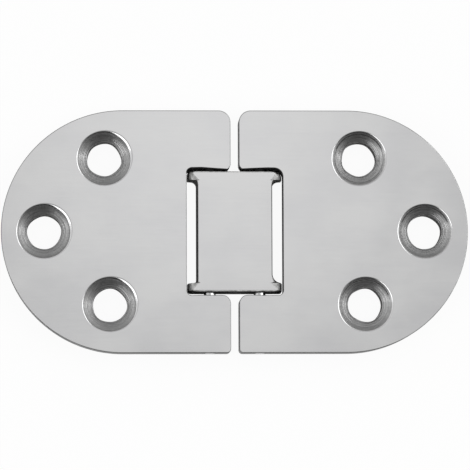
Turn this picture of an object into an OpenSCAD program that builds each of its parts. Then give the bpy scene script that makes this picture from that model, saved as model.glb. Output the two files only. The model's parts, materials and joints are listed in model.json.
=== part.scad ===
// Flush flap hinge, cast and polished: two leaves with half-round ends, joined by one link.
// The link turns on two hidden pins, one pressed into each leaf, so the leaves fold face to face.
// The backs lie on z = 0, the faces look up, the pins run along y, and x = 0 is midway between them.

/* [Leaves] */
// Length over both leaves, laid flat
hinge_l = 75; // [70:0.5:90]
// Width across the leaves, along the pins
hinge_w = 39; // [37:0.5:44]
// Thickness of the leaves and the link
leaf_t = 4.5; // [4:0.1:5]
// Gap between the ends of the two leaves
leaf_gap = 1.5; // [1.2:0.1:2.2]
// Rounding of the outer edges at the face
face_edge_r = 0.2; // [0.15:0.05:0.4]
// Rounding of the outer edges at the back
back_edge_r = 0.2; // [0.1:0.05:0.4]
// Corner at the gap, on the side of the hinge that is well rounded
soft_corner_r = 1.9; // [1.2:0.1:2.6]
// Corner at the gap, on the side of the hinge that is left square
square_corner_r = 0.6; // [0.55:0.05:1]

/* [Screw holes] */
// Clearance hole for the screw
screw_hole_d = 5.5; // [4.5:0.1:6]
// Mouth of the countersink
sink_d = 8.8; // [7.6:0.1:9.6]
// Full angle of the countersink
sink_angle = 90; // [80:1:100]
// From the round end to the middle of the hole there
end_hole_inset = 6.9; // [6:0.1:8]
// From the end hole to the pair of holes, along the hinge
pair_pitch = 10.1; // [9.4:0.1:11]
// From the sides to the middle of the paired holes
pair_inset = 7.75; // [6.5:0.05:8.5]
// How far the two holes of a pair are out of line, as drilled
pair_lean = 0.9; // [0:0.1:1.4]

/* [Link and pins] */
// Distance between the two pins
pin_pitch = 8; // [7.8:0.1:9]
// Diameter of the pins
pin_d = 2; // [1.8:0.05:2.3]
// Length of the link, along the pins
link_l = 19.7; // [17:0.1:22]
// Metal between a pin and the side of the link
link_wall = 0.96; // [0.8:0.02:1.2]
// Thickness of the cheeks at the two ends of the link
cheek_t = 1.55; // [1.2:0.05:2]
// Radius of the cheeks about each pin
cheek_r = 3.6; // [3.3:0.05:3.9]
// Fillet between the cheeks and the body of the link
link_fillet_r = 1; // [0.5:0.1:1.3]
// Rounding of the link's edges at its two ends
link_edge_r = 0.3; // [0.15:0.05:0.4]
// Chamfer on the ends of the pins
pin_chamfer = 0.2; // [0.1:0.05:0.3]

/* [Notch] */
// Corners at the bottom of the notch
notch_corner_r = 0.8; // [0.5:0.05:1.2]
// Where the notch opens into the gap, on the softly rounded side
soft_mouth_r = 0.5; // [0.3:0.05:0.9]
// Where the notch opens into the gap, on the square side
square_mouth_r = 1.3; // [0.8:0.05:1.6]

/* [Fits] */
// Radial play of the pins in the link
pin_play = 0.04; // [0.02:0.01:0.08]
// From the cheeks to the bottom of the notch
cheek_gap = 0.15; // [0.1:0.01:0.3]
// From the ends of the link to the sides of the notch
end_gap = 0.45; // [0.3:0.05:0.8]

/* [Hidden] */
$fn = 96;
// Cuts run past the metal by this much
over = 1;

arc_x = (hinge_l - hinge_w) / 2;
pin_x = pin_pitch / 2;
pin_z = leaf_t / 2;
link_reach = pin_x + cheek_r;
link_body_l = link_l - 2 * cheek_t;
notch_x = link_reach + cheek_gap;
notch_w = link_l + 2 * end_gap;
link_w = pin_pitch + pin_d + 2 * (pin_play + link_wall);
sink_depth = (sink_d - screw_hole_d) / 2 / tan(sink_angle / 2);
end_hole_x = hinge_l / 2 - end_hole_inset;
pair_x = end_hole_x - pair_pitch;
pair_y = hinge_w / 2 - pair_inset;

// What a rounding leaves over: the part of a square outside the circle about its corner
module corner_waste(r, past = 0) {
    difference() {
        square(r + past);
        circle(r);
    }
}

// Section across a leaf's edge, from the metal out to the edge, rounded at the face and the back
module edge_section(reach) {
    difference() {
        square([reach, leaf_t]);
        translate([reach - face_edge_r, leaf_t - face_edge_r]) corner_waste(face_edge_r, over);
        translate([reach - back_edge_r, back_edge_r]) mirror([0, 1]) corner_waste(back_edge_r, over);
    }
}

// The edge carried round a corner, from one direction through a sweep
module turned_edge(r, from, sweep) {
    rotate([0, 0, from]) rotate_extrude(angle = sweep) edge_section(r);
}

// The edge carried along a side, in the x direction, and facing +y
module side_edge(len, reach) {
    rotate([90, 0, 90]) linear_extrude(len) edge_section(reach);
}

// The edge carried along the gap, in the y direction, and facing -x
module gap_edge(len, reach) {
    mirror([1, 0, 0]) rotate([90, 0, 0]) translate([0, 0, -len]) linear_extrude(len) edge_section(reach);
}

// A leaf before its notch and holes are cut
module leaf_blank() {
    gap_x = leaf_gap / 2;
    side_y = hinge_w / 2;
    soft_x = gap_x + soft_corner_r;
    square_x = gap_x + square_corner_r;
    translate([arc_x, 0, 0]) turned_edge(side_y, -90, 180);
    for (flip = [0, 1]) mirror([0, flip, 0]) translate([soft_x, 0, 0]) side_edge(arc_x - soft_x, side_y);
    translate([soft_x, side_y - soft_corner_r, 0]) turned_edge(soft_corner_r, 90, 90);
    translate([soft_x, square_corner_r - side_y, 0])
        gap_edge(hinge_w - soft_corner_r - square_corner_r, soft_corner_r);
    translate([square_x, square_corner_r - side_y, 0]) {
        turned_edge(square_corner_r, 180, 90);
        mirror([0, 1, 0]) side_edge(soft_x - square_x, square_corner_r);
    }
}

// Plan of the notch that takes the link, with its mouth eased into the gap
module notch_plan() {
    difference() {
        translate([-over, -notch_w / 2]) square([notch_x + over, notch_w]);
        for (flip = [0, 1])
            mirror([0, flip]) translate([notch_x - notch_corner_r, notch_w / 2 - notch_corner_r])
                corner_waste(notch_corner_r);
    }
    translate([leaf_gap / 2 + soft_mouth_r, notch_w / 2 + soft_mouth_r])
        rotate(180) corner_waste(soft_mouth_r);
    translate([leaf_gap / 2 + square_mouth_r, -notch_w / 2 - square_mouth_r])
        rotate(90) corner_waste(square_mouth_r);
}

module screw_hole() {
    translate([0, 0, -over]) cylinder(d = screw_hole_d, h = leaf_t + 2 * over);
    slope = tan(sink_angle / 2);
    translate([0, 0, leaf_t - sink_depth])
        cylinder(r1 = screw_hole_d / 2, r2 = sink_d / 2 + over * slope, h = sink_depth + over);
}

// A pin's own space, along y, at the pin on the right
module pin_bore(d) {
    translate([pin_x, 0, pin_z]) rotate([90, 0, 0]) cylinder(d = d, h = hinge_w + 2 * over, center = true);
}

// The leaf on the right, with its upper hole nearer the middle than its lower one by the lean
module leaf(lean) {
    difference() {
        leaf_blank();
        translate([0, 0, -over]) linear_extrude(leaf_t + 2 * over) notch_plan();
        translate([end_hole_x, 0, 0]) screw_hole();
        for (side = [-1, 1]) translate([pair_x - side * lean / 2, side * pair_y, 0]) screw_hole();
        pin_bore(pin_d);
    }
}

module leaf_right() {
    color("silver") leaf(pair_lean);
}

// Drilled in the same jig, turned end for end, so its holes lean the same way as seen from the face
module leaf_left() {
    color("silver") mirror([1, 0, 0]) leaf(-pair_lean);
}

// Plan of the link: a narrow body with a wide cheek across each end, filleted together
module link_plan() {
    translate([-link_w / 2, -link_l / 2]) square([link_w, link_l]);
    for (flip = [0, 1]) mirror([0, flip]) {
        translate([-link_reach, link_body_l / 2]) square([2 * link_reach, cheek_t]);
        for (side = [0, 1])
            mirror([side, 0]) translate([link_w / 2 + link_fillet_r, link_body_l / 2 - link_fillet_r])
                rotate(90) corner_waste(link_fillet_r);
    }
}

// Side view of the link: round about each pin above it, and square below it.
// The square heels come up against the notches, so the leaves stop when they lie flat.
module link_side() {
    intersection() {
        translate([-link_reach, 0]) square([2 * link_reach, leaf_t]);
        union() {
            for (side = [-1, 1]) translate([side * pin_x, pin_z]) circle(cheek_r);
            translate([-pin_x, 0]) square([pin_pitch, leaf_t]);
            translate([-link_reach, 0]) square([2 * link_reach, pin_z]);
        }
    }
}

// Section along the link, its edges rounded at both ends
module link_section() {
    difference() {
        translate([-link_l / 2, 0]) square([link_l, leaf_t]);
        for (flip = [0, 1]) mirror([flip, 0])
            for (top = [0, 1])
                translate([0, top * leaf_t]) mirror([0, top]) translate([link_l / 2 - link_edge_r, link_edge_r])
                    mirror([0, 1]) corner_waste(link_edge_r, over);
    }
}

module link() {
    color("gainsboro") difference() {
        intersection() {
            linear_extrude(leaf_t) link_plan();
            rotate([90, 0, 0]) translate([0, 0, -link_l / 2]) linear_extrude(link_l) link_side();
            rotate([90, 0, 90]) translate([0, 0, -link_reach]) linear_extrude(2 * link_reach) link_section();
        }
        for (flip = [0, 1]) mirror([flip, 0, 0]) pin_bore(pin_d + 2 * pin_play);
    }
}

// A pin from one side of the hinge to the other, ground flush, its ends chamfered
module pin() {
    profile = [
        [0, 0], [pin_d / 2 - pin_chamfer, 0], [pin_d / 2, pin_chamfer],
        [pin_d / 2, hinge_w - pin_chamfer], [pin_d / 2 - pin_chamfer, hinge_w], [0, hinge_w]
    ];
    translate([pin_x, hinge_w / 2, pin_z]) rotate([90, 0, 0]) rotate_extrude() polygon(profile);
}

module pin_right() {
    color("darkgray") pin();
}

module pin_left() {
    color("darkgray") mirror([1, 0, 0]) pin();
}

leaf_left();
leaf_right();
link();
pin_left();
pin_right();
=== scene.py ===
import json

import bmesh
import bpy
import numpy as np
from mathutils import Matrix, Vector


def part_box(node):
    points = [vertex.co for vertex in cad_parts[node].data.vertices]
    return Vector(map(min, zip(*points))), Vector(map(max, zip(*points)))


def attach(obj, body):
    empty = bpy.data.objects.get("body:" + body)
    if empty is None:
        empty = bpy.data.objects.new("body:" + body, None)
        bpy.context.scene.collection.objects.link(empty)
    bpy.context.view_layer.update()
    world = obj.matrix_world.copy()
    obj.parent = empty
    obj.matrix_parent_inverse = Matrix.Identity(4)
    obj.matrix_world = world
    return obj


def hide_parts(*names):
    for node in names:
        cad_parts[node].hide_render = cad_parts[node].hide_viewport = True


# Flush flap hinge in polished cast stainless steel, lying face up, seen from almost straight above.
# Lengths in the dictionaries are in millimetres. What the frame knows is read from it.

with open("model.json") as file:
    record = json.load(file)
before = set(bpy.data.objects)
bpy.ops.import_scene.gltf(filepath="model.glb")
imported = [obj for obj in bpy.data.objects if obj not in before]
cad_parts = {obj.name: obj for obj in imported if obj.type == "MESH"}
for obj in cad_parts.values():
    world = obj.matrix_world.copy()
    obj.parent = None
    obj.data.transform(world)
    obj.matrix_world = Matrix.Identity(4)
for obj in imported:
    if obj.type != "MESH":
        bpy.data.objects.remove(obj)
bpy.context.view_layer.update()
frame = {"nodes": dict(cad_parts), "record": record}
mm = 0.001
print("frame loaded:", ", ".join(sorted(frame["nodes"])))


# Lowest and highest corner of a node, in millimetres.
def boxInMm(node):
    low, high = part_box(node)
    return np.array(low) / mm, np.array(high) / mm


leafLow, leafHigh = boxInMm("leaf_right")
linkHigh = boxInMm("link")[1]
pinLow, pinHigh = boxInMm("pin_right")
thick = leafHigh[2]
pinX, pinZ = (pinLow[0] + pinHigh[0]) / 2, (pinLow[2] + pinHigh[2]) / 2
pinR = (pinHigh[0] - pinLow[0]) / 2
screwHoles = [m for m in frame["record"]["mounts"] if m["kind"] == "bore"]


# Colours and shader nodes

# An sRGB hex colour as linear values.
def linearColour(code):
    parts = np.array([int(code[i:i + 2], 16) for i in (0, 2, 4)]) / 255
    linear = np.where(parts <= 0.04045, parts / 12.92, ((parts + 0.055) / 1.055) ** 2.4)
    return (*linear.tolist(), 1.0)


# One node with its settings, and a value or a link for each input, by name or number.
def addNode(tree, kind, settings=None, inputs=None):
    node = tree.nodes.new(kind)
    for name, value in (settings or {}).items():
        setattr(node, name, value)
    for key, value in (inputs or {}).items():
        if isinstance(value, bpy.types.NodeSocket):
            tree.links.new(value, node.inputs[key])
        else:
            node.inputs[key].default_value = value
    return node


# A new material with an empty tree, and its output node.
def startMaterial(name):
    material = bpy.data.materials.new(name)
    material.use_nodes = True
    material.node_tree.nodes.clear()
    return material, material.node_tree, addNode(material.node_tree, "ShaderNodeOutputMaterial")


# Meshes

# Quads of a grid of points, row by row, whose columns close on themselves.
def gridFaces(rows, columns, offset=0):
    r, c = np.meshgrid(np.arange(rows - 1), np.arange(columns), indexing="ij")
    a, b = r * columns + c, r * columns + (c + 1) % columns
    return (np.stack([a, b, b + columns, a + columns], -1).reshape(-1, 4) + offset).tolist()


# The closed loop of edges through points start to start + count - 1.
def ringEdges(start, count):
    i = np.arange(count)
    return (np.stack([i, (i + 1) % count], -1) + start).tolist()


# Middle and normal of every face, in millimetres, as two arrays.
def faceCentres(mesh):
    centre = np.empty(len(mesh.polygons) * 3, np.float32)
    normal = np.empty_like(centre)
    mesh.polygons.foreach_get("center", centre)
    mesh.polygons.foreach_get("normal", normal)
    return centre.reshape(-1, 3) / mm, normal.reshape(-1, 3)


# A closed mesh object at the origin. Each fill is a list of loops of edges that bound a flat face,
# the first of them outside, and the others round its holes.
def buildPiece(name, points, faces, fills):
    mesh = bpy.data.meshes.new(name)
    mesh.from_pydata((points * mm).tolist(), [], faces)
    work = bmesh.new()
    work.from_mesh(mesh)
    work.verts.ensure_lookup_table()
    for loops in fills:
        edges = []
        for a, b in (pair for loop in loops for pair in loop):
            corners = (work.verts[a], work.verts[b])
            edges.append(work.edges.get(corners) or work.edges.new(corners))
        bmesh.ops.triangle_fill(work, edges=edges, use_beauty=True)
    bmesh.ops.remove_doubles(work, verts=work.verts[:], dist=1e-7)
    bmesh.ops.dissolve_degenerate(work, edges=work.edges[:], dist=1e-6)
    bmesh.ops.recalc_face_normals(work, faces=work.faces[:])
    openEdges = sum(1 for edge in work.edges if len(edge.link_faces) != 2)
    work.to_mesh(mesh)
    work.free()
    mesh.shade_smooth()
    mesh.set_sharp_from_angle(angle=np.radians(40))
    piece = bpy.data.objects.new(name, mesh)
    bpy.context.scene.collection.objects.link(piece)
    print(f"{name}: {len(mesh.polygons)} faces, {openEdges} open edges")
    return piece


# Leaves: the outline carried round with the section of the edge, then flat faces filled in between

leafShape = {
    "softCornerR": 1.9,     # corners at the gap, upper side
    "squareCornerR": 0.6,   # corners at the gap, lower side
    "softMouthR": 0.5,      # where the notch meets the gap, upper side
    "squareMouthR": 1.3,    # where the notch meets the gap, lower side
    "notchCornerR": 0.8,
    "upperCornerR": {1: 1.5, -1: 0.8},  # the notch's upper corner, by side
    "cheekGap": 0.15,       # link's cheek to the bottom of the notch
    "endGap": 0.45,         # link's ends to the sides of the notch
    "gapTrim": 0.07,        # how far the leaves' ends reach into the gap past the plain solids
    "faceEdgeR": 0.1,
    "backEdgeR": 0.1,
    "notchEdgeR": 0.1,
    "pinPatch": 1.3,        # half width of the flat patch about a pin's hole
    "support": 0.03,        # flat strip that keeps the shading of a rounding off the flats
    "sinkR": 4.4,
    "rimWide": 0.07,        # buffed rim of the sink, on each side of its mouth
    "rimSwell": {1: 0.4, -1: 2.6},  # how much wider the buff made it towards the upper right, by side
    "lipWide": {1: 0.3, -1: 0.08},  # band inside the rim, by side
    "stepWide": 0.1,        # from there to the cone
    "ringHeight": 0.011,    # turning marks in the sink
    "holeWave": 0.08,       # cast holes aren't quite round
    "droop": 0.3,           # how far the notch's upper mouth leans to the link at the face
    "droopAt": 1.6,         # where along x it leans most
    "droopWide": 1.3,       # how far the lean spreads from there
    "wave": 0.04,           # hand-finished sides of the notch
    "notchDraft": 0.28,     # how much narrower the notch is at the back, on its upper side
    "bottomDraft": 0.04,    # how much deeper the notch is at the back
}


# Outline of the right leaf, anticlockwise, as arrays: points, outward normals and edge radii at the
# face, with the index of the column where each flat patch for a pin starts.
# Lines keep one normal. An arc is its centre plus its radius along the normal, or minus it if hollow.
def leafOutline(s, side):
    gapX, endX, sideY = leafLow[0] - s["gapTrim"], leafHigh[0], leafHigh[1]
    arcX = endX - sideY
    notchX, notchY = linkHigh[0] + s["cheekGap"], linkHigh[1] + s["endGap"]
    near, far = pinX - s["pinPatch"], pinX + s["pinPatch"]
    outer, inner = s["faceEdgeR"], s["notchEdgeR"]
    points, normals, radii, patches = [], [], [], []

    def line(stops, angle, radius, patch=False):
        if patch:
            patches.append(sum(len(p) for p in points) + 1)
        points.append(np.array(stops))
        normals.append(np.tile([np.cos(np.radians(angle)), np.sin(np.radians(angle))], (len(stops), 1)))
        radii.append(np.full(len(stops), radius))

    def arc(centre, r, start, stop, radiusA, radiusB, step=6.0):
        count = int(abs(stop - start) / step)
        share = np.arange(count) / count
        angle = np.radians(start + (stop - start) * share)
        out = np.stack([np.cos(angle), np.sin(angle)], -1)
        points.append(np.array(centre) + r * out)
        normals.append(out if stop > start else -out)
        radii.append(radiusA + (radiusB - radiusA) * share)

    square, soft = s["squareCornerR"], s["softCornerR"]
    mouthLow, mouthHigh, corner = s["squareMouthR"], s["softMouthR"], s["notchCornerR"]
    upper = s["upperCornerR"][side]
    line([(gapX + square, -sideY), (near, -sideY), (far, -sideY)], -90, outer, patch=True)
    arc((arcX, 0), sideY, -90, 90, outer, outer, step=1.2)
    line([(arcX, sideY), (far, sideY), (near, sideY)], 90, outer, patch=True)
    arc((gapX + soft, sideY - soft), soft, 90, 180, outer, outer)
    line([(gapX, sideY - soft)], 180, outer)
    arc((gapX + mouthHigh, notchY + mouthHigh), mouthHigh, 180, 270, outer, inner)
    line([(gapX + mouthHigh, notchY), (near, notchY), (far, notchY)], -90, inner, patch=True)
    arc((notchX - upper, notchY - upper), upper, 90, 0, inner, inner)
    line([(notchX, notchY - upper)], 180, inner)
    arc((notchX - corner, corner - notchY), corner, 0, -90, inner, inner)
    line([(notchX - corner, -notchY), (far, -notchY), (near, -notchY)], 90, inner, patch=True)
    arc((gapX + mouthLow, -notchY - mouthLow), mouthLow, 90, 180, inner, outer)
    line([(gapX, -notchY - mouthLow)], 180, outer)
    arc((gapX + square, square - sideY), square, 180, 270, outer, outer, step=9.0)
    return np.concatenate(points), np.concatenate(normals), np.concatenate(radii), patches


# The outline carried down the edge, row by row: in by the radius less its share of the circle, down
# the wall, and in again at the back. Row quarter + 1 starts the wall, and the next ends it.
def edgeRows(points, normals, faceR, backR, support, quarter=8):
    turn = np.radians(np.linspace(0, 90, quarter))[:, None]
    faceIn = np.vstack([faceR + support, faceR * (1 - np.sin(turn)), 0 * faceR])
    faceZ = np.vstack([thick + 0 * faceR, thick - faceR * (1 - np.cos(turn)), thick - faceR - support])
    backIn = np.vstack([0 * faceR, backR * (1 - np.sin(turn[::-1])), backR + support])
    backZ = np.vstack([backR + support, backR * (1 - np.cos(turn[::-1])), 0 * faceR])
    inward, z = np.vstack([faceIn, backIn]), np.vstack([faceZ, backZ])
    plan = points[None] - normals[None] * inward[..., None]
    return np.concatenate([plan, z[..., None]], -1)


# How wide the buffed rim is at an angle: wider by the square of the cosine from the upper right.
def rimAt(s, side, angle):
    towards = np.clip(np.cos(angle - np.pi / 4), 0, 1)
    return s["rimWide"] * (1 + s["rimSwell"][side] * towards ** 2)


# A countersunk hole turned about its own axis: a buffed rim, a plain band, a short step to the cone
# with its fine turning marks, a softened edge, the wall and a small chamfer at the back.
# The rim is an arc from level to its slope. The cast wall is a little out of round, by waves of three
# and five to the turn and one flat.
def sinkRows(s, holeR, side, seed, columns=128, quarter=9):
    edge, chamfer, slope, bandSlope = 0.1, 0.2, np.radians(38), np.radians(43)
    angle = np.linspace(0, 2 * np.pi, columns, endpoint=False)
    sinkR, lip, floorZ = s["sinkR"], s["lipWide"][side], thick - (s["sinkR"] - holeR)
    rim = rimAt(s, side, np.arctan2(np.sin(angle), side * np.cos(angle)))
    turn = np.linspace(0, slope, quarter)[:, None]
    rimR = sinkR + rim - 2 * rim * np.sin(turn) / np.sin(slope)
    rimZ = thick - 2 * rim * (1 - np.cos(turn)) / np.sin(slope)
    lipR, lipZ = rimR[-1:] - lip, rimZ[-1:] - lip * np.tan(bandSlope)
    topR = lipR - s["stepWide"]
    topZ = thick - (sinkR - topR)
    t = np.linspace(0, 1, 44)[:, None]
    along = np.hypot(topR - holeR, topZ - floorZ) * t
    marks = np.sin(along * 21) + 0.6 * np.sin(along * 47 + 1) + 0.5 * np.sin(along * 9 + 2)
    marks = s["ringHeight"] * marks * np.sin(np.pi * t) * 0.7
    coneR = topR + (holeR + edge * 0.4 - topR) * t - marks
    coneZ = topZ + (floorZ + edge * 0.4 - topZ) * t + marks
    drilled = np.array([
        [holeR + edge * 0.12, floorZ - edge * 0.12], [holeR, floorZ - edge * 0.5],
        [holeR, floorZ - edge], [holeR, chamfer + 0.03], [holeR, chamfer],
        [holeR + chamfer, 0], [holeR + chamfer + 0.03, 0]
    ])
    r = np.vstack([rimR[:1] + s["support"], rimR, lipR, coneR, drilled[:, :1] + 0 * angle])
    z = np.vstack([rimZ[:1], rimZ, lipZ, coneZ, drilled[:, 1:] + 0 * angle])
    wave = 0.5 * np.cos(3 * angle + seed) + 0.4 * np.cos(5 * angle + 2 * seed)
    wave -= np.clip(np.cos(angle + 2.2), 0, 1) ** 12
    r = r + s["holeWave"] * wave * np.clip((holeR + 0.7 - r) / 0.7, 0, 1)
    return np.stack([r * np.cos(angle), r * np.sin(angle), z], -1)


# A circle about the pin's axis, in the plane of that y.
def boreRing(y, r, columns=40):
    angle = np.linspace(0, 2 * np.pi, columns, endpoint=False)
    return np.stack([pinX + r * np.cos(angle), y + 0 * angle, pinZ + r * np.sin(angle)], -1)


# One leaf: side is 1 for the right one and -1 for its mirror image.
def makeLeaf(name, side):
    s = leafShape
    points, normals, faceR, patches = leafOutline(s, side)
    backR = np.minimum(faceR, s["backEdgeR"])
    rows = edgeRows(points, normals, faceR, backR, s["support"])
    rowCount, columns = rows.shape[:2]
    wallRow = rowCount // 2 - 1
    faces = np.array(gridFaces(rowCount, columns)).reshape(rowCount - 1, columns, 4)
    keep = np.ones((rowCount - 1, columns), bool)
    keep[wallRow, patches] = False
    faces = faces[keep].tolist()
    parts, fills, total = [rows.reshape(-1, 3)], [], rowCount * columns
    face, back = [ringEdges(0, columns)], [ringEdges((rowCount - 1) * columns, columns)]
    for mount in screwHoles:
        x, y = mount["pos_m"][0] / mm * side, mount["pos_m"][1] / mm
        if x < 0:
            continue
        hole = sinkRows(s, mount["dims"]["r_mm"], side, x + y) + [x, y, 0]
        parts.append(hole.reshape(-1, 3))
        faces += gridFaces(*hole.shape[:2], offset=total)
        face.append(ringEdges(total, hole.shape[1]))
        back.append(ringEdges(total + (hole.shape[0] - 1) * hole.shape[1], hole.shape[1]))
        total += hole.shape[0] * hole.shape[1]
    for outerPatch, innerPatch in ((patches[0], patches[3]), (patches[1], patches[2])):
        rims = []
        for patch in (outerPatch, innerPatch):
            y = points[patch][1]
            ring = boreRing(y, pinR)
            parts.append(ring)
            rims.append(total)
            corners = wallRow * columns + patch + np.array([0, 1, 1 + columns, columns])
            square = np.stack([corners, np.roll(corners, -1)], -1).tolist()
            fills.append([square, ringEdges(total, len(ring))])
            total += len(ring)
        tube = np.array(gridFaces(2, rims[1] - rims[0]))
        faces += (tube + rims[0]).tolist()
    points = np.vstack(parts)
    x, y = points[:, 0], points[:, 1]
    inNotch = np.clip((linkHigh[0] + 0.6 - x) / 0.6, 0, 1) * np.clip((x - leafLow[0]) / 0.5, 0, 1)
    inNotch *= np.exp(-((np.abs(y) - linkHigh[1] - s["endGap"]) / 0.6) ** 2)
    inward = s["wave"] * (1 + np.sin(x * 0.9 + side + np.sign(y)) + 0.5 * np.sin(x * 2.1 + 2 * side))
    mouth = np.exp(-((x - s["droopAt"]) / s["droopWide"]) ** 2)
    inward += s["droop"] * (y > 0) * mouth * points[:, 2] / thick
    inward += s["notchDraft"] * (y > 0) * (1 - points[:, 2] / thick)
    points[:, 1] -= inNotch * inward * np.sign(y)
    atBottom = np.clip((x - linkHigh[0] + 0.65) / 0.65, 0, 1) * (x < linkHigh[0] + 1)
    atBottom *= np.abs(y) < linkHigh[1] + 1
    points[:, 0] += atBottom * s["bottomDraft"] * (1 - points[:, 2] / thick)
    points[:, 0] *= side
    return buildPiece(name, points, faces, [face, back] + fills)


leafPieces = {"leafRight": makeLeaf("leafRight", 1), "leafLeft": makeLeaf("leafLeft", -1)}


# Link: its section carried along the pins, narrowing from the cheeks to the body

linkShape = {
    "bodyHalf": 6.0,
    "cheekThick": 1.55,
    "cheekLean": 0.03,            # lean of a cheek's inner side, so that its faces have some area
    "filletR": {(1, 1): 1.0, (-1, 1): 0.9, (1, -1): 1.4, (-1, -1): 0.6},  # by side in x and in y
    "cheekR": 3.6,
    "cornerR": {(1, 1): 1.15, (-1, 1): 0.5, (1, -1): 0.3, (-1, -1): 0.5},  # the corners in plan
    "endEdgeR": 0.2,
    "sideEdgeR": 0.12,
    "boreR": pinR + 0.04,
    "cheekSoft": (1.05, 0.5),     # where the polished top rolls over onto a cheek: across, and down
    "draft": 0.14,                # how much wider each side is at the back than at the face
    # What dressing took off each end at the face, in the middle and at the cheeks
    "bow": {1: (0.3, 0.08), -1: (0.0, 0.26)},
}


# The section at each y. Its side is the lesser of the plan's half width there and the cheek's: round
# about the pin above it and upright below it. Its corners are quadratic curves, wider on the cheeks.
def linkRows(s):
    endY, reach = linkHigh[1], linkHigh[0]
    cheekY = endY - s["cheekThick"]
    turn = np.radians(np.linspace(0, 90, 7))
    soft, edge = s["sideEdgeR"], s["endEdgeR"]
    # Each row: y, how far below the cheek, how far the cheek is eased, and how far the end is rounded
    ends = [(endY - edge * (1 - np.sin(a)), -1, 0, edge * (1 - np.cos(a))) for a in turn[::-1]]
    cheek = [(cheekY + soft * (1 - np.sin(a)), -1, soft * (1 - np.cos(a)), 0) for a in turn]
    below = max(s["filletR"].values()) * (1 - np.cos(np.radians(np.linspace(0, 90, 12))))
    flank = [(cheekY + share * s["cheekThick"], -1, 0, 0) for share in (0.8, 0.65, 0.5, 0.35, 0.2)]
    half = np.array(ends + flank + cheek + [(cheekY - s["cheekLean"] - d, d, 0, 0) for d in below])
    rows = np.vstack([half, (half * [-1, 1, 1, 1])[::-1]])
    y, below, eased, endIn = (rows[:, i:i + 1] for i in range(4))
    halves = [sectionHalf(s, side, y, below, eased) for side in (1, -1)]
    x = np.hstack([halves[0][0], -halves[1][0][:, ::-1]])
    z = np.hstack([halves[0][1], halves[1][1][:, ::-1]])
    x, z = x * (1 - endIn / reach), pinZ + (z - pinZ) * (1 - endIn / pinZ)
    return np.stack([x, y + 0 * z, z], -1)


# Half of the section, from the top inwards round to the bottom, as x and z by row.
# Below the cheek the plan follows the fillet, a circle: its radius less what is left of its chord.
# The corners at the link's ends are circles in plan too.
def sectionHalf(s, side, y, below, eased):
    reach, soft = linkHigh[0], s["sideEdgeR"]
    filletR = np.where(y > 0, s["filletR"][side, 1], s["filletR"][side, -1])
    chord = np.sqrt(filletR ** 2 - np.clip(filletR - below, 0, filletR) ** 2)
    plan = np.where(below < 0, reach + 1, s["bodyHalf"] + filletR - chord)
    cornerR = np.where(y > 0, s["cornerR"][side, 1], s["cornerR"][side, -1])
    past = np.clip(np.abs(y) - linkHigh[1] + cornerR, 0, cornerR)
    eased = eased + cornerR - np.sqrt(cornerR ** 2 - past ** 2)
    onCheek = np.clip((plan - s["bodyHalf"]) / filletR, 0, 1)
    taper = np.clip((linkHigh[1] - 0.4 - np.abs(y)) / (s["cheekThick"] - 0.4), 0.1, 1)
    across = soft + (s["cheekSoft"][0] * taper - soft) * onCheek
    down = soft + (s["cheekSoft"][1] - soft) * onCheek

    # Half width at a height, the smooth lesser of the two
    def sideAt(z, blend=0.03):
        cheekX = pinX + np.sqrt(s["cheekR"] ** 2 - np.maximum(z - pinZ, 0) ** 2) - eased
        drafted = plan + s["draft"] * (1 - z / thick)
        short = np.exp((reach - drafted) / blend) + np.exp((reach - cheekX) / blend)
        return reach - blend * np.log(short)

    # A quadratic curve in a corner, from a to b with its bend at c
    def corner(a, c, b):
        u = np.linspace(0, 1, 7)[None]
        return (1 - u) ** 2 * a + 2 * u * (1 - u) * c + u ** 2 * b

    upper = thick - down + (pinZ - thick + down) * np.linspace(0, 1, 24)[1:]
    lower = pinZ + (soft - pinZ) * np.linspace(0, 1, 6)[None, 1:-1] + 0 * y
    z = np.hstack([upper, lower])
    topSide, lowSide = sideAt(thick + 0 * y), sideAt(0 * y)
    flat = topSide - across
    x = np.hstack([
        flat - 0.05, corner(flat, topSide, sideAt(thick - down)), sideAt(z),
        corner(lowSide, lowSide, lowSide - soft), lowSide - soft - 0.05
    ])
    top, bottom = thick + 0 * y, 0 * y
    z = np.hstack([
        top, corner(top, top, thick - down), z, corner(soft + 0 * y, bottom, bottom), bottom
    ])
    return x, z


def makeLink(name):
    s = linkShape
    rows = linkRows(s)
    rowCount, columns = rows.shape[:2]
    faces, total = gridFaces(rowCount, columns), rowCount * columns
    parts = [rows.reshape(-1, 3)]
    fills = [[ringEdges(0, columns)], [ringEdges((rowCount - 1) * columns, columns)]]
    endY, boreR, chamfer = linkHigh[1], s["boreR"], 0.1
    profile = [(endY, boreR + chamfer), (endY - chamfer, boreR)]
    profile += [(-y, r) for y, r in profile[::-1]]
    for side in (1, -1):
        bore = np.stack([boreRing(y, r) for y, r in profile]) * [side, 1, 1]
        parts.append(bore.reshape(-1, 3))
        faces += gridFaces(*bore.shape[:2], offset=total)
        fills[0].append(ringEdges(total, bore.shape[1]))
        fills[1].append(ringEdges(total + (bore.shape[0] - 1) * bore.shape[1], bore.shape[1]))
        total += bore.shape[0] * bore.shape[1]
    points = np.vstack(parts)
    nearEnd = np.clip((np.abs(points[:, 1]) - endY + 1.2) / 1.2, 0, 1)
    aside = np.clip(points[:, 0] / linkHigh[0], -1, 1) ** 2
    for end, (middle, cheeks) in s["bow"].items():
        dressed = nearEnd * (middle + (cheeks - middle) * aside) * points[:, 2] / thick
        points[:, 1] -= (np.sign(points[:, 1]) == end) * end * dressed
    return buildPiece(name, points, faces, fills)


linkPiece = makeLink("linkPiece")


# Pins: drawn rod turned about its own axis, chamfered and ground flush

pinShape = {"chamfer": 0.2}


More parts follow.
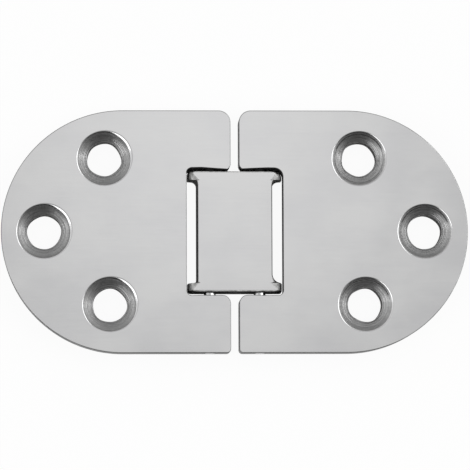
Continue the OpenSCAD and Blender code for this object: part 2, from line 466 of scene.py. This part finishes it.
# A pin's profile, radius against y, carried round its axis.
def makePin(name, side):
    c, end = pinShape["chamfer"], pinHigh[1]
    profile = [(end, pinR - c - 0.03), (end, pinR - c), (end - c, pinR), (end - c - 0.03, pinR)]
    profile += [(-y, r) for y, r in profile[::-1]]
    rows = np.stack([boreRing(y, r, columns=64) for y, r in profile])
    rowCount, columns = rows.shape[:2]
    points = rows.reshape(-1, 3) * [side, 1, 1]
    fills = [[ringEdges(0, columns)], [ringEdges((rowCount - 1) * columns, columns)]]
    return buildPiece(name, points, gridFaces(rowCount, columns), fills)


pinPieces = {"pinRight": makePin("pinRight", 1), "pinLeft": makePin("pinLeft", -1)}
print("meshes made")


# Materials: every pattern is in object coordinates, its sizes in millimetres

def patternSpace(tree):
    place = addNode(tree, "ShaderNodeTexCoord")
    inputs = {0: place.outputs["Object"], "Scale": 1 / mm}
    return addNode(tree, "ShaderNodeVectorMath", {"operation": "SCALE"}, inputs)


# Noise whose features are about the given sizes across, in millimetres along x, y and z
def noiseOf(tree, space, sizes, detail=2.0, roughness=0.5):
    inputs = {0: space.outputs[0], 1: sizes}
    scaled = addNode(tree, "ShaderNodeVectorMath", {"operation": "DIVIDE"}, inputs)
    return addNode(tree, "ShaderNodeTexNoise", {}, {
        "Vector": scaled.outputs[0], "Scale": 1.0, "Detail": detail, "Roughness": roughness
    })


def spread(tree, value, low, high, fromLow=0.3, fromHigh=0.7):
    return addNode(tree, "ShaderNodeMapRange", {}, {
        "Value": value, "From Min": fromLow, "From Max": fromHigh, "To Min": low, "To Max": high
    }).outputs[0]


def bumpOf(tree, height, depth, before=None):
    inputs = {"Height": height, "Distance": depth * mm, "Strength": 1.0}
    if before is not None:
        inputs["Normal"] = before
    return addNode(tree, "ShaderNodeBump", {}, inputs).outputs[0]


def greyOf(tree, value, dark, light):
    return addNode(tree, "ShaderNodeMix", {"data_type": "RGBA"}, {
        0: value, 6: linearColour(dark), 7: linearColour(light)
    }).outputs[2]


def metal(tree, output, colour, roughness, normal, **more):
    inputs = {"Base Color": colour, "Metallic": 1.0, "Roughness": roughness, "Normal": normal}
    inputs.update(more)
    shader = addNode(tree, "ShaderNodeBsdfPrincipled", {}, inputs)
    tree.links.new(shader.outputs[0], output.inputs["Surface"])


# Buffed casting: a bright face that mirrors softly, a little cloudy, and slowly uneven
def polishedSteel():
    material, tree, output = startMaterial("polishedSteel")
    space = patternSpace(tree)
    cloud = noiseOf(tree, space, (9, 6, 6), 3.0)
    buff = noiseOf(tree, space, (7, 0.22, 2), 2.0)
    swell = noiseOf(tree, space, (14, 11, 11), 1.0)
    grain = addNode(tree, "ShaderNodeMath", {"operation": "MULTIPLY_ADD"}, {
        0: buff.outputs[0], 1: 0.12, 2: cloud.outputs[0]
    })
    colour = greyOf(tree, spread(tree, grain.outputs[0], 0, 1, 0.4, 0.75), "d1d1d2", "dddddd")
    normal = bumpOf(tree, buff.outputs[0], 0.0002, bumpOf(tree, swell.outputs[0], 0.03))
    metal(tree, output, colour, spread(tree, cloud.outputs[0], 0.11, 0.15), normal)
    return material


# Countersunk by a drill: fine rings with a satin sheen that runs across them, and faint chatter marks
def turnedSteel():
    material, tree, output = startMaterial("turnedSteel")
    rings = addNode(tree, "ShaderNodeUVMap", {"uv_map": "turning"})
    split = addNode(tree, "ShaderNodeSeparateXYZ", {}, {0: rings.outputs[0]})
    fine = addNode(tree, "ShaderNodeTexNoise", {"noise_dimensions": "1D"}, {
        "W": split.outputs[0], "Scale": 7.0, "Detail": 3.0, "Roughness": 0.75
    })
    stretched = addNode(tree, "ShaderNodeVectorMath", {"operation": "MULTIPLY"}, {
        0: rings.outputs[0], 1: (0.7, 9.0, 1.0)
    })
    chatter = addNode(tree, "ShaderNodeTexNoise", {}, {
        "Vector": stretched.outputs[0], "Scale": 1.0, "Detail": 2.0
    })
    both = addNode(tree, "ShaderNodeMath", {"operation": "MULTIPLY_ADD"}, {
        0: chatter.outputs[0], 1: 0.35, 2: fine.outputs[0]
    })
    colour = greyOf(tree, spread(tree, both.outputs[0], 0, 1, 0.45, 0.9), "969696", "d6d6d6")
    normal = bumpOf(tree, fine.outputs[0], 0.017, bumpOf(tree, chatter.outputs[0], 0.003))
    along = addNode(tree, "ShaderNodeTangent", {"direction_type": "UV_MAP", "uv_map": "turning"})
    metal(tree, output, colour, 0.3, normal, Anisotropic=0.45, Tangent=along.outputs[0])
    return material


# As cast where no wheel reaches: dull, grey and pitted
def castSteel():
    return pittedSteel("castSteel", "8a8a89", "d8d8d7", 0.25, 0.45)


# Painted shade for the narrow gaps, the notch walls, the bores and the link's ends: matt steel painted
# near black, so they read as dark lines
def gapShadeSteel():
    return pittedSteel("gapShadeSteel", "2c2b2a", "484746", 0.3, 0.8)


def pittedSteel(name, dark, light, bare, dull):
    material, tree, output = startMaterial(name)
    space = patternSpace(tree)
    pits = noiseOf(tree, space, (0.35, 0.35, 0.35), 4.0, 0.6)
    cloud = noiseOf(tree, space, (0.7, 0.7, 0.7), 3.0)
    colour = greyOf(tree, spread(tree, cloud.outputs[0], 0, 1), dark, light)
    normal = bumpOf(tree, pits.outputs[0], 0.13)
    metal(tree, output, colour, spread(tree, pits.outputs[0], dull, dull + 0.15), normal, Metallic=bare)
    return material


# Backs: straight grinding lines, matt across them
def groundSteel():
    return linishedSteel("groundSteel", "b4b4b4", "c4c4c4", 0.28)


# Sides and edge roundings of the leaves: cast, dressed on a belt along their length, duller than the face,
# and painted darker than it as painted shade
def shadedSideSteel():
    return linishedSteel("shadedSideSteel", "5a5a5a", "767676", 0.46)


def linishedSteel(name, dark, light, dull):
    material, tree, output = startMaterial(name)
    space = patternSpace(tree)
    lines = noiseOf(tree, space, (14, 0.35, 2), 2.0, 0.6)
    cloud = noiseOf(tree, space, (8, 5, 5), 2.0)
    colour = greyOf(tree, spread(tree, cloud.outputs[0], 0, 1), dark, light)
    normal = bumpOf(tree, lines.outputs[0], 0.003)
    metal(tree, output, colour, spread(tree, lines.outputs[0], dull, dull + 0.14), normal)
    return material


# Drawn rod: smooth and bright, with hairlines along it, painted darker and duller from its middle towards
# its upper end as painted shade, where the upper gap keeps light off it
def drawnSteel():
    material, tree, output = startMaterial("drawnSteel")
    space = patternSpace(tree)
    hair = noiseOf(tree, space, (0.12, 6, 0.12), 2.0)
    split = addNode(tree, "ShaderNodeSeparateXYZ", {}, {0: space.outputs[0]})
    # Painted shade: darker from the middle of the rod towards its upper end
    upperShade = spread(tree, split.outputs[1], 0, 1, 0, 9)
    normal = bumpOf(tree, hair.outputs[0], 0.0015)
    metal(tree, output, greyOf(tree, upperShade, "d0d0d0", "3a3a3a"), spread(tree, upperShade, 0.16, 0.6), normal)
    return material


steels = {
    make.__name__: make()
    for make in (polishedSteel, turnedSteel, castSteel, gapShadeSteel, groundSteel, shadedSideSteel, drawnSteel)
}


def giveSteels(piece, names, index):
    for name in names:
        piece.data.materials.append(steels[name])
    piece.data.polygons.foreach_set("material_index", index.astype(np.int32))


# Which finish a leaf's face has: back ground, sides dressed, notch and hole walls painted near black as
# painted shade, sinks turned, and the face and the rims of the sinks polished. A thin near-black ring,
# painted shade, marks the step on the upper side of the right leaf's sinks.
def finishLeaf(piece, side):
    s, mesh = leafShape, piece.data
    centre, normal = faceCentres(mesh)
    index = np.zeros(len(centre), int)
    inNotch = (side * centre[:, 0] < linkHigh[0] + s["cheekGap"] + s["bottomDraft"] + 0.02)
    inNotch &= np.abs(centre[:, 1]) < linkHigh[1] + s["endGap"] + 0.25
    # Notch walls: near-black painted shade
    index[inNotch & (centre[:, 2] < thick - s["notchEdgeR"] * 0.8)] = 2
    # Pin bores: near-black painted shade
    index[np.hypot(side * centre[:, 0] - pinX, centre[:, 2] - pinZ) < pinR * 0.999] = 2
    index[(normal[:, 2] < -0.9) & (centre[:, 2] < 0.01)] = 3
    # Sides and edge roundings: the darker steel, its darkness painted shade
    index[(index == 0) & (normal[:, 2] < 0.96)] = 4
    loopVertex = np.empty(len(mesh.loops), np.int32)
    mesh.loops.foreach_get("vertex_index", loopVertex)
    place = np.empty(len(mesh.vertices) * 3, np.float32)
    mesh.vertices.foreach_get("co", place)
    corner = place.reshape(-1, 3)[loopVertex] / mm
    loopFace = np.repeat(np.arange(len(centre)), [len(p.vertices) for p in mesh.polygons])
    turning = np.zeros((len(loopVertex), 2))
    for mount in screwHoles:
        x, y, r = mount["pos_m"][0] / mm, mount["pos_m"][1] / mm, mount["dims"]["r_mm"]
        away = np.hypot(centre[:, 0] - x, centre[:, 1] - y)
        index[(away < s["sinkR"] + 0.4) & (index == 4)] = 0
        faceTurn = np.arctan2(centre[:, 1] - y, centre[:, 0] - x)
        wall = (away < s["sinkR"] - rimAt(s, side, faceTurn) + 0.01) & (normal[:, 2] > -0.9)
        floorZ = thick - (s["sinkR"] - r)
        # Bore walls below the cone: near-black painted shade
        index[wall] = np.where(centre[wall, 2] > floorZ - 0.02, 1, 2)
        stepR = s["sinkR"] - s["rimWide"] - s["lipWide"][side] - s["stepWide"] / 2
        upper = centre[:, 1] - y > 0.4 * away
        # Painted shade: a near-black ring at the step, on the upper side of the right leaf's sinks only
        index[wall & upper & (side > 0) & (np.abs(away - stepR) < s["stepWide"] * 0.6)] = 2
        mine = wall[loopFace]
        facing = faceTurn[loopFace[mine]]
        turn = np.arctan2(corner[mine, 1] - y, corner[mine, 0] - x) - facing
        turn = facing + (turn + np.pi) % (2 * np.pi) - np.pi
        turning[mine, 0] = np.hypot(corner[mine, 0] - x, corner[mine, 1] - y) + 10 * x
        turning[mine, 1] = turn * s["sinkR"]
    mesh.uv_layers.new(name="turning").data.foreach_set("uv", turning.ravel())
    names = ("polishedSteel", "turnedSteel", "gapShadeSteel", "groundSteel", "shadedSideSteel")
    giveSteels(piece, names, index)


# The link is polished on top, ground below, painted near black as painted shade at its ends and along its
# body, and as cast elsewhere
def finishLink(piece):
    centre, normal = faceCentres(piece.data)
    index = np.ones(len(centre), int)
    body = np.abs(centre[:, 1]) < linkHigh[1] - linkShape["cheekThick"]
    index[(normal[:, 2] > 0.997) & (centre[:, 2] > thick - 0.5)] = 0
    index[(normal[:, 2] < -0.9) & (centre[:, 2] < 0.01)] = 2
    # Ends and steep sides: near-black painted shade
    index[(np.abs(normal[:, 0]) < 0.7) & (np.abs(normal[:, 2]) < 0.6)] = 3
    # The body's sides: near-black painted shade as well
    index[body & (index == 1)] = 3
    giveSteels(piece, ("polishedSteel", "castSteel", "groundSteel", "gapShadeSteel"), index)


# The pins' ends were ground with the sides of the leaves
def finishPin(piece):
    normal = faceCentres(piece.data)[1]
    giveSteels(piece, ("drawnSteel", "groundSteel"), (np.abs(normal[:, 1]) > 0.9).astype(int))


for name, side in (("leafRight", 1), ("leafLeft", -1)):
    finishLeaf(leafPieces[name], side)
finishLink(linkPiece)
for piece in pinPieces.values():
    finishPin(piece)
print("finishes given")


# Each piece, its body, its node and its slot: the piece rides on its body and stands in for the node,
# which is hidden; the slot is listed but not used here
for piece, body, node, slot in (
    (leafPieces["leafLeft"], "fixed_leaf", "leaf_left", "leaf_steel"),
    (leafPieces["leafRight"], "moving_leaf", "leaf_right", "leaf_steel"),
    (linkPiece, "link", "link", "link_steel"),
    (pinPieces["pinLeft"], "fixed_leaf", "pin_left", "pin_steel"),
    (pinPieces["pinRight"], "moving_leaf", "pin_right", "pin_steel"),
):
    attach(piece, body)
    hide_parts(node)


# Studio: a pale floor, a soft overhead glow, bright sides and a dim front, two softboxes and two lamps

studio = {
    "floorHalf": 2.0,             # metres
    "floorColour": "f2f2f2",
    "floorGlow": 0.94,            # share of the floor seen as plain white; the rest takes the shadow
    "overhead": (0.033, 0.112, 0.99),
    "broad": 0.53, "broadPower": 9.0,
    "narrow": 0.56, "narrowPower": 310.0,
    "around": 0.62, "sides": 0.56, "front": 1.5, "frontStart": 0.05, "frontLeft": 0.03,
    "boxSize": 0.62, "boxPower": 2.1,
    "lampSize": 0.18, "lampPower": 0.16,
}


# What the camera and reflections see in place of the shaded colour
def whiteForCamera(tree, shaded, glow):
    path = addNode(tree, "ShaderNodeLightPath")
    seen = path.outputs["Is Camera Ray"]
    for ray in ("Is Transmission Ray", "Is Glossy Ray"):
        inputs = {0: seen, 1: path.outputs[ray]}
        seen = addNode(tree, "ShaderNodeMath", {"operation": "MAXIMUM"}, inputs).outputs[0]
    share = addNode(tree, "ShaderNodeMath", {"operation": "MULTIPLY"}, {0: seen, 1: glow})
    white = addNode(tree, "ShaderNodeEmission", {}, {"Color": (1, 1, 1, 1), "Strength": 1.0})
    inputs = {0: share.outputs[0], 1: shaded, 2: white.outputs[0]}
    return addNode(tree, "ShaderNodeMixShader", {}, inputs).outputs[0]


def makeFloor():
    half = studio["floorHalf"]
    mesh = bpy.data.meshes.new("floor")
    corners = [(-half, -half, 0), (half, -half, 0), (half, half, 0), (-half, half, 0)]
    mesh.from_pydata(corners, [], [(0, 1, 2, 3)])
    floor = bpy.data.objects.new("floor", mesh)
    bpy.context.scene.collection.objects.link(floor)
    material, tree, output = startMaterial("palePaper")
    paper = addNode(tree, "ShaderNodeBsdfDiffuse", {}, {"Color": linearColour(studio["floorColour"])})
    seen = whiteForCamera(tree, paper.outputs[0], studio["floorGlow"])
    tree.links.new(seen, output.inputs["Surface"])
    mesh.materials.append(material)


# Brightness by direction: a horizon brighter at the sides, and an overhead glow with a brighter middle,
# each a power of how well the direction lines up with overhead. All but that middle dims to the front,
# where a few hundredths are left.
def makeWorld():
    world = bpy.data.worlds.new("studioAir")
    world.use_nodes = True
    tree = world.node_tree
    tree.nodes.clear()
    way = addNode(tree, "ShaderNodeTexCoord")
    part = addNode(tree, "ShaderNodeSeparateXYZ", {}, {0: way.outputs["Generated"]})

    def maths(operation, a, b, c=None):
        inputs = {0: a, 1: b}
        if c is not None:
            inputs[2] = c
        return addNode(tree, "ShaderNodeMath", {"operation": operation}, inputs).outputs[0]

    lined = addNode(tree, "ShaderNodeVectorMath", {"operation": "DOT_PRODUCT"}, {
        0: way.outputs["Generated"], 1: Vector(studio["overhead"]).normalized()
    }).outputs["Value"]
    lined = maths("MAXIMUM", lined, 0.0)
    broad = maths("POWER", lined, studio["broadPower"])
    narrow = maths("POWER", lined, studio["narrowPower"])
    sides = maths("MULTIPLY", part.outputs[0], part.outputs[0])
    around = maths("MULTIPLY_ADD", sides, studio["sides"], studio["around"])
    rest = maths("MULTIPLY", around, maths("SUBTRACT", 1.0, broad))
    total = maths("MULTIPLY_ADD", broad, studio["broad"], rest)
    dim = studio["front"]
    front = maths("MULTIPLY_ADD", part.outputs[1], -dim, -studio["frontStart"] * dim)
    lit = maths("SUBTRACT", 1 + studio["frontLeft"], maths("MINIMUM", maths("MAXIMUM", front, 0.0), 1.0))
    total = maths("MULTIPLY", total, lit)
    total = maths("MULTIPLY_ADD", narrow, studio["narrow"], total)
    air = addNode(tree, "ShaderNodeBackground", {}, {"Color": (1, 1, 1, 1), "Strength": total})
    white = addNode(tree, "ShaderNodeBackground", {}, {"Color": (1, 1, 1, 1), "Strength": 1.0})
    path = addNode(tree, "ShaderNodeLightPath")
    mixed = addNode(tree, "ShaderNodeMixShader", {}, {
        0: path.outputs["Is Camera Ray"], 1: air.outputs[0], 2: white.outputs[0]
    })
    addNode(tree, "ShaderNodeOutputWorld", {}, {"Surface": mixed.outputs[0]})
    bpy.context.scene.world = world


# A square lamp at a place, in metres, facing the hinge
def addSoftbox(name, place, size, power):
    light = bpy.data.lights.new(name, "AREA")
    light.shape, light.size, light.energy = "SQUARE", size, power
    box = bpy.data.objects.new(name, light)
    facing = Vector(place).to_track_quat("Z", "Y").to_matrix().to_4x4()
    box.matrix_world = Matrix.Translation(place) @ facing
    bpy.context.scene.collection.objects.link(box)


makeFloor()
makeWorld()
addSoftbox("softboxLeft", (-0.5, -0.36, 0.7), studio["boxSize"], studio["boxPower"])
addSoftbox("softboxRight", (0.57, 0.16, 0.72), studio["boxSize"], studio["boxPower"])
addSoftbox("lampLeft", (-0.92, -0.2, 0.26), studio["lampSize"], studio["lampPower"])
addSoftbox("lampRight", (0.95, 0.02, 0.26), studio["lampSize"], studio["lampPower"])
print("studio set")


# Camera: almost straight above, a little to the left and in front, far enough off for a flat view

view = {
    "place": (-0.025, -0.050, 0.6),    # metres
    "target": (0.0, -0.0006, thick * mm),
    "width": 75.4,                     # millimetres across the picture, at the target
}
sensor = 36.0


def makeCamera():
    place, target = Vector(view["place"]), Vector(view["target"])
    back = (place - target).normalized()
    right = (Vector((1, 0, 0)) - back * back.x).normalized()
    up = back.cross(right)
    camera = bpy.data.objects.new("camera", bpy.data.cameras.new("camera"))
    camera.data.type = "PERSP"
    camera.data.sensor_width = sensor
    camera.data.lens = sensor * (place - target).length / (view["width"] * mm)
    camera.data.clip_start, camera.data.clip_end = 0.01, 10
    camera.matrix_world = Matrix.Translation(place) @ Matrix((right, up, back)).transposed().to_4x4()
    bpy.context.scene.collection.objects.link(camera)
    bpy.context.scene.camera = camera


makeCamera()
bpy.context.scene.view_settings.view_transform = "Standard"
